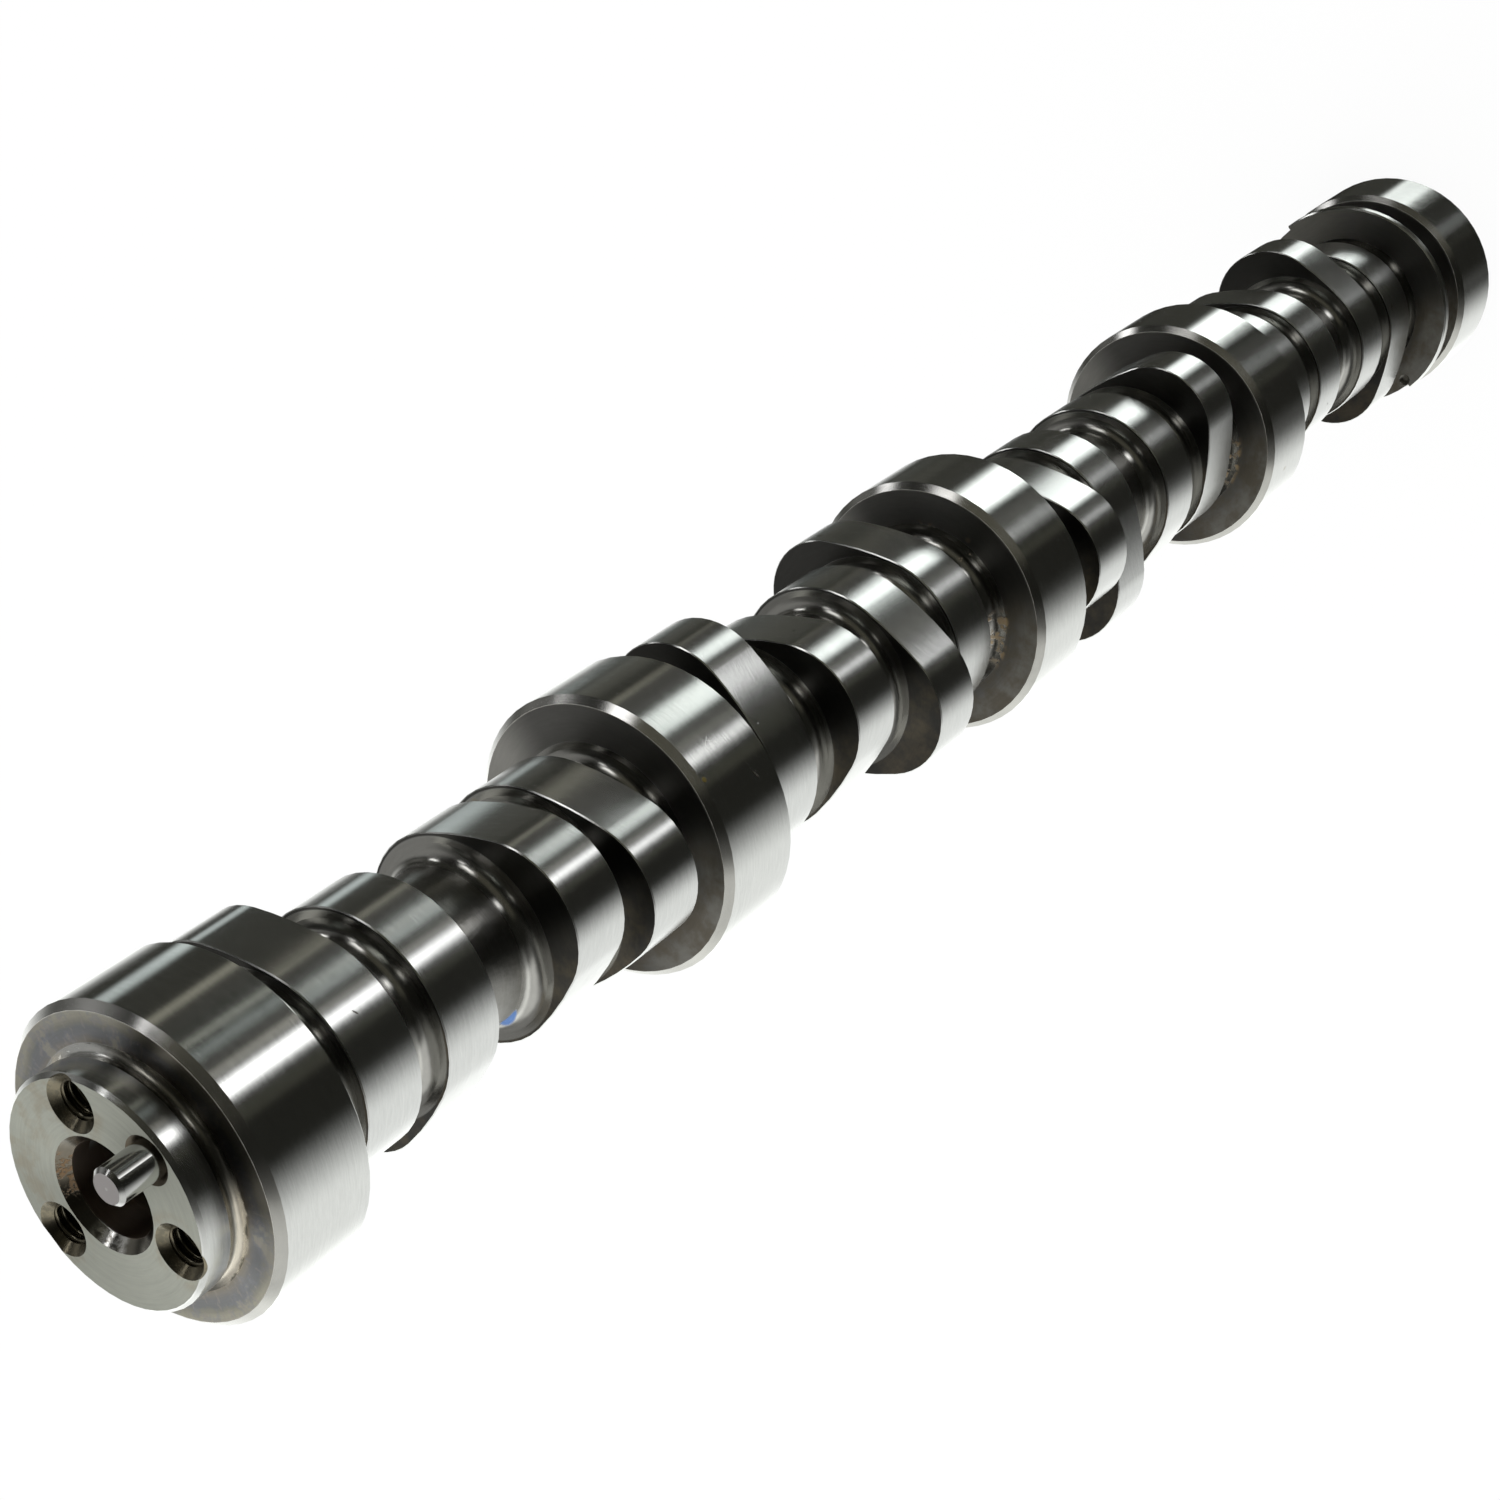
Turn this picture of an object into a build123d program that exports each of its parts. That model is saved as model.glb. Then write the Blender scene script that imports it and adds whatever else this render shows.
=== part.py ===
from build123d import *
import math
import os

# Camshaft of a V8 pushrod engine: one steel shaft with five bearing journals, sixteen
# cam lobes, a sensor ring and a bolted nose, plus the dowel pin that times the sprocket.
#
# Frame, in millimetres: the shaft stands on its rear face. The origin is the centre of
# the rear face, +Z runs along the axis to the nose, and +X points through the dowel pin.
# Angles are counter-clockwise as seen from the nose, where the shaft turns clockwise.

# Journals
journal_diameter = 55.0
journal_land = 17.4          # ground length of journals 1 to 4
journal_pitch = 111.76       # centre to centre, journals 1 to 4
rear_land = 18.6             # ground length of journal 5
front_chamfer = 1.3          # on the edge that faces the nose
rear_chamfer = 0.4

# Turned core between the journals and lobes
core_diameter = 29.6
root_fillet = 3.0

# Cam lobes, made of a base circle, two flanks and a nose arc
lobe_width = 12.3
inner_lobe_offset = 13.5     # lobe centre from the middle of its bay
outer_lobe_offset = 32.3
base_diameter = 39.4
intake_lift = 6.9
intake_nose_radius = 14.0
intake_flank_radius = 65.0
exhaust_lift = 7.0
exhaust_nose_radius = 15.1
exhaust_flank_radius = 63.5
lobe_edge_break = 0.2

# Timing
firing_order = (1, 8, 7, 2, 6, 5, 4, 3)
bank_angle = 90.0
first_intake_angle = 106.0   # centre of the cylinder 1 intake lobe, from the dowel pin
lobe_separation = 117.3      # exhaust centre to intake centre of one cylinder

# Sensor ring ahead of journal 5, half of it raised
ring_diameter = 54.6
ring_step = 1.15             # how far the raised part stands above the rest of the rim
ring_thickness = 2.4
ring_gap = 9.4               # from journal 5 to the ring
ring_room = 11.0             # what the ring adds to the last journal's distance
ring_raised_angle = 178.0    # raised part, centred on the dowel pin
ring_chamfer = 0.4
mill_overrun = 1.5           # of the milling cutter past the ring's rim and faces
ring_dimple_diameter = 2.9
ring_dimple_depth = 1.0
ring_dimple_radius = 24.6
ring_dimple_angle = 271.0

# Nose
nose_diameter = 40.0
nose_length = 7.4            # thrust face to nose face
nose_chamfer = 0.7
relief_width = 2.4           # round grinding relief at the nose root, along the nose
relief_reach = 1.0           # beyond the nose, on the thrust face
relief_sag = 1.2             # depth of the arc below the line between its ends

# Bore, gun-drilled from end to end
bore_diameter = 16.4
bore_chamfer = 1.7

# Tapped holes for the sprocket bolts, M8 x 1.25
bolt_count = 3
bolt_circle_diameter = 30.0  # the dowel pin stands on it too
bolt_drill_diameter = 6.8
bolt_hole_depth = 22.0
bolt_countersink_diameter = 9.5
bolt_first_angle = 60.0      # from the dowel pin

# Dowel pin
pin_diameter = 6.35
pin_projection = 7.6
pin_seat_depth = 14.0
pin_end_chamfer = 0.65
pin_seat_countersink_diameter = 8.3

# Sizes that follow from the ones above
journal_radius = journal_diameter / 2
core_radius = core_diameter / 2
base_radius = base_diameter / 2
nose_radius = nose_diameter / 2
bore_radius = bore_diameter / 2
ring_radius = ring_diameter / 2
ring_low_radius = ring_radius - ring_step
bolt_circle_radius = bolt_circle_diameter / 2

rear_journal_centre = rear_land / 2
journal_4_centre = rear_journal_centre + ring_room + journal_pitch
journal_1_centre = journal_4_centre + 3 * journal_pitch
thrust_face = journal_1_centre + journal_land / 2 + front_chamfer
nose_face = thrust_face + nose_length
ring_rear_face = rear_land + front_chamfer + ring_gap
ring_front_face = ring_rear_face + ring_thickness

# Lobes overlap the hub that the turned section leaves for them
hub_radius = (base_radius + core_radius) / 2 + 1.0
hub_lap = 1.0


def lobe_plan():
    """Every lobe as (centre height, angle of its nose, kind), from the nose to the rear."""
    degrees_between_firings = 360 / len(firing_order)
    plan = []
    for bay in range(4):
        odd, even = 2 * bay + 1, 2 * bay + 2
        middle = journal_1_centre - (bay + 0.5) * journal_pitch
        row = [
            (outer_lobe_offset, odd, "intake"),
            (inner_lobe_offset, even, "exhaust"),
            (-inner_lobe_offset, odd, "exhaust"),
            (-outer_lobe_offset, even, "intake"),
        ]
        for offset, cylinder, kind in row:
            turn = firing_order.index(cylinder) * degrees_between_firings
            bank = bank_angle if cylinder == even else 0.0
            angle = first_intake_angle + turn + bank
            if kind == "exhaust":
                angle -= lobe_separation
            plan.append((middle + offset, angle % 360, kind))
    return plan


def lobe_outline(kind):
    """Cam outline with its nose on +X: base circle, convex flanks and nose arc."""
    if kind == "intake":
        lift, nose, flank = intake_lift, intake_nose_radius, intake_flank_radius
    else:
        lift, nose, flank = exhaust_lift, exhaust_nose_radius, exhaust_flank_radius
    reach = base_radius + lift - nose
    to_base = flank - base_radius
    to_nose = flank - nose
    centre_x = (to_base**2 - to_nose**2 + reach**2) / (2 * reach)
    centre_y = -math.sqrt(to_base**2 - centre_x**2)
    flank_centre = Vector(centre_x, centre_y)
    nose_centre = Vector(reach, 0)
    on_base = (Vector(0, 0) - flank_centre).normalized() * base_radius
    on_nose = nose_centre + (nose_centre - flank_centre).normalized() * nose
    on_flank = flank_centre + ((on_base + on_nose) / 2 - flank_centre).normalized() * flank
    back = Vector(-base_radius, 0)
    tip = Vector(reach + nose, 0)

    def mirrored(point):
        return Vector(point.X, -point.Y)

    edges = [
        ThreePointArc(mirrored(on_base), back, on_base),
        ThreePointArc(on_base, on_flank, on_nose),
        ThreePointArc(on_nose, tip, mirrored(on_nose)),
        ThreePointArc(mirrored(on_nose), mirrored(on_flank), mirrored(on_base)),
    ]
    return make_face(Wire(edges))


def lobe(centre, angle, kind):
    """One lobe ring, from the hub outwards, with both outer edges broken."""
    bottom = centre - lobe_width / 2
    body = extrude(lobe_outline(kind), lobe_width)
    rims = body.faces().sort_by(Axis.Z)
    body = chamfer(rims[0].edges() + rims[-1].edges(), lobe_edge_break)
    hollow = Cylinder(
        hub_radius - hub_lap, lobe_width, align=(Align.CENTER, Align.CENTER, Align.MIN)
    )
    return Pos(0, 0, bottom) * Rot(0, 0, angle) * (body - hollow)


def valley(low, low_radius, high, high_radius):
    """Edges from a shoulder down to the core and up to the next shoulder, filleted."""
    room = min((high - low) * 0.45, low_radius - core_radius, high_radius - core_radius)
    round_ = min(root_fillet, room * 0.98)
    turn = round_ * (1 - math.sqrt(0.5))
    points = [
        (low_radius, low),
        (core_radius + round_, low),
        (core_radius, low + round_),
        (core_radius, high - round_),
        (core_radius + round_, high),
        (high_radius, high),
    ]
    return [
        Line(points[0], points[1]),
        ThreePointArc(points[1], (core_radius + turn, low + turn), points[2]),
        Line(points[2], points[3]),
        ThreePointArc(points[3], (core_radius + turn, high - turn), points[4]),
        Line(points[4], points[5]),
    ]


def shoulder(points):
    """Straight edges through the given (radius, height) points."""
    return [Line(start, end) for start, end in zip(points, points[1:])]


def journal_shoulder(bottom, top, rear_edge):
    """Rear chamfer, ground land and front chamfer of one journal."""
    return [
        (journal_radius - rear_edge, bottom),
        (journal_radius, bottom + rear_edge),
        (journal_radius, top - front_chamfer),
        (journal_radius - front_chamfer, top),
    ]


def nose_relief():
    """Round groove that lets the grinding wheel clear the nose and the thrust face."""
    start = Vector(nose_radius + relief_reach, thrust_face)
    end = Vector(nose_radius, thrust_face + relief_width)
    along = (end - start).normalized()
    inward = Vector(-along.Y, along.X)
    return ThreePointArc(start, (start + end) / 2 + inward * relief_sag, end)


def turned_section():
    """Half section of the shaft in (radius, height), bore included."""
    shoulders = [journal_shoulder(0.0, rear_land + front_chamfer, rear_chamfer)]
    shoulders.append([
        (ring_radius - ring_chamfer, ring_rear_face),
        (ring_radius, ring_rear_face + ring_chamfer),
        (ring_radius, ring_front_face - ring_chamfer),
        (ring_radius - ring_chamfer, ring_front_face),
    ])
    middles = [(centre, lobe_width / 2, None) for centre, _, _ in lobe_plan()]
    for index in range(4):
        centre = journal_4_centre + index * journal_pitch
        middles.append((centre, journal_land / 2, journal_radius))
    for centre, half, radius in sorted(middles):
        if radius is None:
            shoulders.append([(hub_radius, centre - half), (hub_radius, centre + half)])
        else:
            top = centre + half + front_chamfer
            shoulders.append(journal_shoulder(centre - half - rear_chamfer, top, rear_chamfer))

    shoulders[-1].append((nose_radius + relief_reach, thrust_face))

    edges = []
    for index, points in enumerate(shoulders):
        edges += shoulder(points)
        if index + 1 < len(shoulders):
            low_radius, low = points[-1]
            high_radius, high = shoulders[index + 1][0]
            edges += valley(low, low_radius, high, high_radius)

    edges.append(nose_relief())
    edges += shoulder([
        (nose_radius, thrust_face + relief_width),
        (nose_radius, nose_face - nose_chamfer),
        (nose_radius - nose_chamfer, nose_face),
        (bore_radius + bore_chamfer, nose_face),
        (bore_radius, nose_face - bore_chamfer),
        (bore_radius, bore_chamfer),
        (bore_radius + bore_chamfer, 0.0),
        (journal_radius - rear_chamfer, 0.0),
    ])
    return make_face(Wire(edges))


def shaft_blank():
    """Turned shaft, before lobes and holes."""
    return revolve(Plane.XZ * turned_section(), Axis.Z)


def ring_relief():
    """What is milled off the rim of the sensor ring to leave its raised part."""
    height = ring_thickness + 2 * mill_overrun
    middle = ring_rear_face + ring_thickness / 2
    rim = Cylinder(ring_radius + mill_overrun, height) - Cylinder(ring_low_radius, 2 * height)
    wedge_arc = CenterArc((0, 0), 2 * ring_radius, -ring_raised_angle / 2, ring_raised_angle)
    start, end = wedge_arc @ 0, wedge_arc @ 1
    wedge = make_face(Wire([wedge_arc, Line(end, (0, 0)), Line((0, 0), start)]))
    raised = Pos(0, 0, -height) * extrude(wedge, 2 * height)
    return Pos(0, 0, middle) * (rim - raised)


def ring_dimple():
    """Shallow round dimple in the front of the sensor ring."""
    tool = Cone(
        ring_dimple_diameter / 4,
        ring_dimple_diameter / 2,
        ring_dimple_depth,
        align=(Align.CENTER, Align.CENTER, Align.MAX),
    )
    place = Rot(0, 0, ring_dimple_angle) * Pos(ring_dimple_radius, 0, ring_front_face)
    return place * tool


def drilled_hole(diameter, depth, countersink_diameter):
    """Blind hole tool with its mouth at the origin, opened by a countersink."""
    hole = Cylinder(diameter / 2, depth, align=(Align.CENTER, Align.CENTER, Align.MAX))
    sink = (countersink_diameter - diameter) / 2
    mouth = Cone(
        diameter / 2, countersink_diameter / 2, sink, align=(Align.CENTER, Align.CENTER, Align.MAX)
    )
    return hole + mouth


def drill_point():
    """Conical end that the drill leaves under a tapped hole."""
    radius = bolt_drill_diameter / 2
    height = radius * math.tan(math.radians(31))
    point = Cone(0, radius, height, align=(Align.CENTER, Align.CENTER, Align.MAX))
    return Pos(0, 0, -bolt_hole_depth) * point


def nose_holes():
    """Three tapped holes and the dowel pin's seat, all opening on the nose face."""
    tapped = drilled_hole(bolt_drill_diameter, bolt_hole_depth, bolt_countersink_diameter)
    tapped += drill_point()
    tools = []
    for index in range(bolt_count):
        angle = bolt_first_angle + index * 360 / bolt_count
        tools.append(Rot(0, 0, angle) * Pos(bolt_circle_radius, 0, nose_face) * tapped)
    seat = drilled_hole(pin_diameter, pin_seat_depth, pin_seat_countersink_diameter)
    tools.append(Pos(bolt_circle_radius, 0, nose_face) * seat)
    return tools


def camshaft():
    """The whole shaft as one solid."""
    shaft = shaft_blank()
    shaft = shaft.fuse(*[lobe(*entry) for entry in lobe_plan()]).clean()
    shaft = shaft.cut(ring_relief(), ring_dimple(), *nose_holes())
    return shaft.solids()[0]


def dowel_pin():
    """Straight pin, pressed to the bottom of its seat, with both ends chamfered."""
    length = pin_seat_depth + pin_projection
    pin = Cylinder(pin_diameter / 2, length, align=(Align.CENTER, Align.CENTER, Align.MIN))
    pin = chamfer(pin.edges().filter_by(GeomType.CIRCLE), pin_end_chamfer)
    return Pos(bolt_circle_radius, 0, nose_face - pin_seat_depth) * pin


def main():
    os.makedirs("parts", exist_ok=True)
    parts = {"camshaft": camshaft(), "dowel_pin": dowel_pin()}
    for name, shape in parts.items():
        shape.label = name
        export_step(shape, os.path.join("parts", name + ".step"))
        print(name, round(shape.volume / 1000, 2), "cm3")


main()
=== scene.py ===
import bpy
import math
from mathutils import Matrix, Vector


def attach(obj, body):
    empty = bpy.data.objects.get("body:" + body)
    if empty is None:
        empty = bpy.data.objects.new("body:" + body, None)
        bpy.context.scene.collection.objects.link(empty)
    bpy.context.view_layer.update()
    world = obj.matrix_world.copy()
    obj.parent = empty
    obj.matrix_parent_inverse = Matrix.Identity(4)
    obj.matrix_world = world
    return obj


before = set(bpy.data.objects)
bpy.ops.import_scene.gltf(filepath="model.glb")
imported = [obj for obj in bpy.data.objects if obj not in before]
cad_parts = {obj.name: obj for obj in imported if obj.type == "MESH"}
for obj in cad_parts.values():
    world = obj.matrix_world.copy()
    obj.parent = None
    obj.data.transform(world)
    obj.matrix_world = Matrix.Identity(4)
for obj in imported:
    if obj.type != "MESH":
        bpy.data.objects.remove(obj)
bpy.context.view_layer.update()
scene = bpy.context.scene
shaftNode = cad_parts["camshaft"]
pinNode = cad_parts["dowel_pin"]
perMetre = 1000.0  # millimetres in a metre
print("frame loaded:", len(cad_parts), "nodes")


def addNode(tree, kind, **values):
    node = tree.nodes.new(kind)
    for name, value in values.items():
        setattr(node, name, value)
    return node


def feed(tree, value, socket):  # a number, a tuple or another socket
    if isinstance(value, bpy.types.NodeSocket):
        tree.links.new(value, socket)
    else:
        socket.default_value = value


def calc(tree, operation, first, second=None, third=None, clamp=False):
    node = addNode(tree, "ShaderNodeMath", operation=operation, use_clamp=clamp)
    for socket, value in zip(node.inputs, (first, second, third)):
        if value is not None:
            feed(tree, value, socket)
    return node.outputs[0]


def calcVector(tree, operation, *values):
    node = addNode(tree, "ShaderNodeVectorMath", operation=operation)
    for socket, value in zip(node.inputs, values):
        feed(tree, value, socket)
    return node.outputs["Value" if operation == "DOT_PRODUCT" else "Vector"]


def scaleVector(tree, vector, factor):
    node = addNode(tree, "ShaderNodeVectorMath", operation="SCALE")
    feed(tree, vector, node.inputs[0])
    feed(tree, factor, node.inputs["Scale"])
    return node.outputs["Vector"]


def split(tree, vector):
    node = addNode(tree, "ShaderNodeSeparateXYZ")
    tree.links.new(vector, node.inputs[0])
    return node.outputs


def join(tree, x=0.0, y=0.0, z=0.0):
    node = addNode(tree, "ShaderNodeCombineXYZ")
    for socket, value in zip(node.inputs, (x, y, z)):
        feed(tree, value, socket)
    return node.outputs[0]


def turnVector(tree, vector, angle):  # about the shaft's axis
    node = addNode(tree, "ShaderNodeVectorRotate", rotation_type="Z_AXIS")
    feed(tree, vector, node.inputs["Vector"])
    feed(tree, angle, node.inputs["Angle"])
    return node.outputs[0]


def toSpace(tree, normal, start, end):
    node = addNode(tree, "ShaderNodeVectorTransform", vector_type="NORMAL")
    node.convert_from = start
    node.convert_to = end
    tree.links.new(normal, node.inputs[0])
    return node.outputs[0]


def rise(tree, value, start, end):  # 0 before start, 1 after end, smooth between
    node = addNode(tree, "ShaderNodeMapRange", interpolation_type="SMOOTHSTEP")
    for name, amount in (("Value", value), ("From Min", start), ("From Max", end)):
        feed(tree, amount, node.inputs[name])
    return node.outputs["Result"]


def both(tree, *masks):
    result = masks[0]
    for mask in masks[1:]:
        result = calc(tree, "MULTIPLY", result, mask)
    return result


def inverse(tree, mask):
    return calc(tree, "SUBTRACT", 1.0, mask)


def sumOfSquares(tree, first, second):
    return calc(tree, "MULTIPLY_ADD", first, first, calc(tree, "MULTIPLY", second, second))


def distance(tree, first, second):
    return calc(tree, "SQRT", sumOfSquares(tree, first, second))


def bearingOf(tree, x, y):
    return calc(tree, "DEGREES", calc(tree, "ARCTAN2", y, x))


def blend(tree, dataType, socketType, factor, first, second, mode="MIX"):
    node = addNode(tree, "ShaderNodeMix", data_type=dataType, blend_type=mode)
    feed(tree, factor, node.inputs["Factor"])
    ends = [s for s in node.inputs if s.type == socketType and s.name in ("A", "B")]
    for value, socket in zip((first, second), ends):
        feed(tree, value, socket)
    return next(s for s in node.outputs if s.type == socketType)


def opaque(tone):  # a written colour gets its alpha, and a socket stays as it is
    return (*tone, 1.0) if isinstance(tone, tuple) else tone


def blendColor(tree, factor, first, second, mode="MIX"):
    return blend(tree, "RGBA", "RGBA", factor, opaque(first), opaque(second), mode)


def blendValue(tree, factor, first, second):
    return blend(tree, "FLOAT", "VALUE", factor, first, second)


def blendVector(tree, factor, first, second):
    return blend(tree, "VECTOR", "VECTOR", factor, first, second)


def newGroup(name, inputs, outputs, outputType="NodeSocketFloat"):
    # inputs are numbers, each given with its default
    tree = bpy.data.node_groups.new(name, "ShaderNodeTree")
    for label, default in inputs:
        socket = tree.interface.new_socket(label, in_out="INPUT", socket_type="NodeSocketFloat")
        socket.default_value = default
    for label in outputs:
        tree.interface.new_socket(label, in_out="OUTPUT", socket_type=outputType)
    return tree, addNode(tree, "NodeGroupInput"), addNode(tree, "NodeGroupOutput")


def useGroup(tree, group, **values):
    node = addNode(tree, "ShaderNodeGroup", node_tree=group)
    for name, value in values.items():
        label = "".join(" " + c.lower() if c.isupper() else c for c in name).strip().capitalize()
        feed(tree, value, node.inputs[label])
    return node


def newMaterial(name):
    material = bpy.data.materials.new(name)
    material.use_nodes = True
    tree = material.node_tree
    tree.nodes.clear()
    output = addNode(tree, "ShaderNodeOutputMaterial")
    return material, tree, output


def fillRamp(tree, stops, interpolation="LINEAR"):
    # each stop is its place, from 0 to 1, and its colour
    ramp = addNode(tree, "ShaderNodeValToRGB")
    ramp.color_ramp.interpolation = interpolation
    elements = ramp.color_ramp.elements
    while len(elements) < len(stops):
        elements.new(0.5)
    for element, (place, tone) in zip(elements, stops):
        element.position = place
        element.color = (*tone, 1.0)
    return ramp


# how much of a surface's normal lies along the axis: the levels between which Up and Face fade
# in and Straight fades out
facings = {"Up": (0.85, 0.97), "Face": (0.8, 0.95), "Straight": (0.05, 0.3)}
holeSector = 120.0  # degrees from one tapped hole to the next
lineClimb = 0.73  # millimetres of line for each millimetre across a face


def makeShaftPlaces():
    # where on the shaft a point lies, in millimetres, and which way its surface faces
    outputs = (
        "Radius", "Height", "Azimuth", "Up", "Face", "Straight", "Line", "Hole distance",
        "Pin distance",
    )
    tree, given, out = newGroup("shaftPlaces", [("Hole circle", 15.0)], outputs)
    coords = addNode(tree, "ShaderNodeTexCoord")
    point = split(tree, scaleVector(tree, coords.outputs["Object"], perMetre))
    radius = distance(tree, point["X"], point["Y"])
    azimuth = bearingOf(tree, point["X"], point["Y"])
    geometry = addNode(tree, "ShaderNodeNewGeometry")
    rose = split(tree, geometry.outputs["Normal"])["Z"]
    lean = calc(tree, "ABSOLUTE", rose)
    # the three tapped holes repeat, so one sector serves for all
    turn = calc(tree, "ABSOLUTE", calc(tree, "WRAP", azimuth, holeSector, 0.0))
    turn = calc(tree, "RADIANS", calc(tree, "SUBTRACT", turn, holeSector / 2))
    across = calc(tree, "MULTIPLY", radius, calc(tree, "SINE", turn))
    along = calc(tree, "MULTIPLY", radius, calc(tree, "COSINE", turn))
    along = calc(tree, "SUBTRACT", along, given.outputs["Hole circle"])
    pinSide = calc(tree, "SUBTRACT", point["X"], given.outputs["Hole circle"])
    results = {
        "Radius": radius, "Height": point["Z"], "Azimuth": azimuth,
        "Up": rise(tree, rose, *facings["Up"]),
        "Face": rise(tree, lean, *facings["Face"]),
        "Straight": inverse(tree, rise(tree, lean, *facings["Straight"])),
        # runs on without a break along the shaft, over its corners and across its faces
        "Line": calc(tree, "MULTIPLY_ADD", radius, lineClimb, point["Z"]),
        "Hole distance": distance(tree, across, along),
        "Pin distance": distance(tree, pinSide, point["Y"]),
    }
    for label, value in results.items():
        tree.links.new(value, out.inputs[label])
    return tree


def makeToolLines():
    # fine lines round the axis, as a wheel or a lathe tool leaves them
    inputs = (("Line", 0.0), ("Fine", 6.0), ("Stretch", 0.04))
    tree, given, out = newGroup("toolLines", inputs, ["Lines"])
    coords = addNode(tree, "ShaderNodeTexCoord")
    stretch = calc(tree, "MULTIPLY", given.outputs["Stretch"], perMetre)
    parts = split(tree, scaleVector(tree, coords.outputs["Object"], stretch))
    across = calc(tree, "MULTIPLY", given.outputs["Line"], given.outputs["Fine"])
    noise = addNode(tree, "ShaderNodeTexNoise", noise_dimensions="3D")
    tree.links.new(join(tree, parts["X"], parts["Y"], across), noise.inputs["Vector"])
    for name, value in (("Scale", 1.0), ("Detail", 3.0), ("Roughness", 0.6)):
        noise.inputs[name].default_value = value
    tree.links.new(noise.outputs[0], out.inputs["Lines"])
    return tree


def makeBlotches():
    # uneven cloud, for stains, film and mottling; Size is in millimetres
    inputs = (("Size", 8.0), ("Low", 0.45), ("High", 0.6), ("Seed", 0.0))
    tree, given, out = newGroup("blotches", inputs, ["Mask"])
    coords = addNode(tree, "ShaderNodeTexCoord")
    noise = addNode(tree, "ShaderNodeTexNoise", noise_dimensions="4D")
    tree.links.new(coords.outputs["Object"], noise.inputs["Vector"])
    tree.links.new(given.outputs["Seed"], noise.inputs["W"])
    tree.links.new(calc(tree, "DIVIDE", perMetre, given.outputs["Size"]), noise.inputs["Scale"])
    for name, value in (("Detail", 4.0), ("Roughness", 0.62)):
        noise.inputs[name].default_value = value
    mask = rise(tree, noise.outputs[0], given.outputs["Low"], given.outputs["High"])
    tree.links.new(mask, out.inputs["Mask"])
    return tree


pitEdge = (0.6, 1.2)  # how far from its middle a pit fades out, in shares of its size
markEdge = (0.5, 1.3)  # the same for a mark, in squares of the shares of its length and width


def makePits():
    # scattered small round marks; Spacing and Size are in millimetres
    inputs = (("Spacing", 6.0), ("Size", 0.25), ("Share", 0.3))
    tree, given, out = newGroup("pits", inputs, ["Mask"])
    coords = addNode(tree, "ShaderNodeTexCoord")
    cells = addNode(tree, "ShaderNodeTexVoronoi", voronoi_dimensions="3D")
    tree.links.new(coords.outputs["Object"], cells.inputs["Vector"])
    tree.links.new(calc(tree, "DIVIDE", perMetre, given.outputs["Spacing"]), cells.inputs["Scale"])
    reach = calc(tree, "MULTIPLY", cells.outputs["Distance"], given.outputs["Spacing"])
    reach = calc(tree, "DIVIDE", reach, given.outputs["Size"])
    inside = inverse(tree, rise(tree, reach, *pitEdge))
    pick = split(tree, cells.outputs["Color"])
    chosen = calc(tree, "LESS_THAN", pick["X"], given.outputs["Share"])
    tree.links.new(both(tree, inside, chosen), out.inputs["Mask"])
    return tree


lobePlan = {  # millimetres and degrees, as the lobes are ground
    "firstCentre": 467.34,
    "pitch": 111.76,
    "gapMiddles": (23.1, 0.0, -23.1),
    "order": (1, 8, 7, 2, 6, 5, 4, 3),
    "firstIntake": 106.0,
    "bank": 90.0,
    "separation": 117.3,
    "baseRadius": 19.7,
    "intake": (6.9, 14.0, 65.0),  # lift and the radii of the nose and the flanks
    "exhaust": (7.0, 15.1, 63.5),
    "length": 500.0,
}


def lobeBands(plan):
    # (lower end, angle of the nose, 1 for an exhaust lobe) of every lobe, from the rear up
    bands = []
    for bay in range(4):
        middle = plan["firstCentre"] - (bay + 0.5) * plan["pitch"]
        odd, even = 2 * bay + 1, 2 * bay + 2
        row = ((odd, 0.0), (even, 1.0), (odd, 1.0), (even, 0.0))
        ends = plan["gapMiddles"] + (-plan["pitch"] / 2,)
        for (cylinder, exhaust), end in zip(row, ends):
            angle = plan["firstIntake"] + plan["order"].index(cylinder) * 360 / len(plan["order"])
            angle += plan["bank"] * (cylinder == even) - plan["separation"] * exhaust
            bands.append((middle + end, angle % 360, exhaust))
    return sorted(bands)


def camArcs(base, lift, nose, flank):
    # nose centre, flank centre and the bearings, from the nose, at which the flank starts and ends
    reach = base + lift - nose
    toBase, toNose = flank - base, flank - nose
    centreX = (toBase**2 - toNose**2 + reach**2) / (2 * reach)
    centreY = -math.sqrt(toBase**2 - centreX**2)
    start = math.degrees(math.atan2(-centreY, -centreX))
    onNose = Vector((reach, 0)) + Vector((reach - centreX, -centreY)).normalized() * nose
    return reach, centreX, centreY, start, math.degrees(math.atan2(onNose.y, onNose.x))


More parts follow.
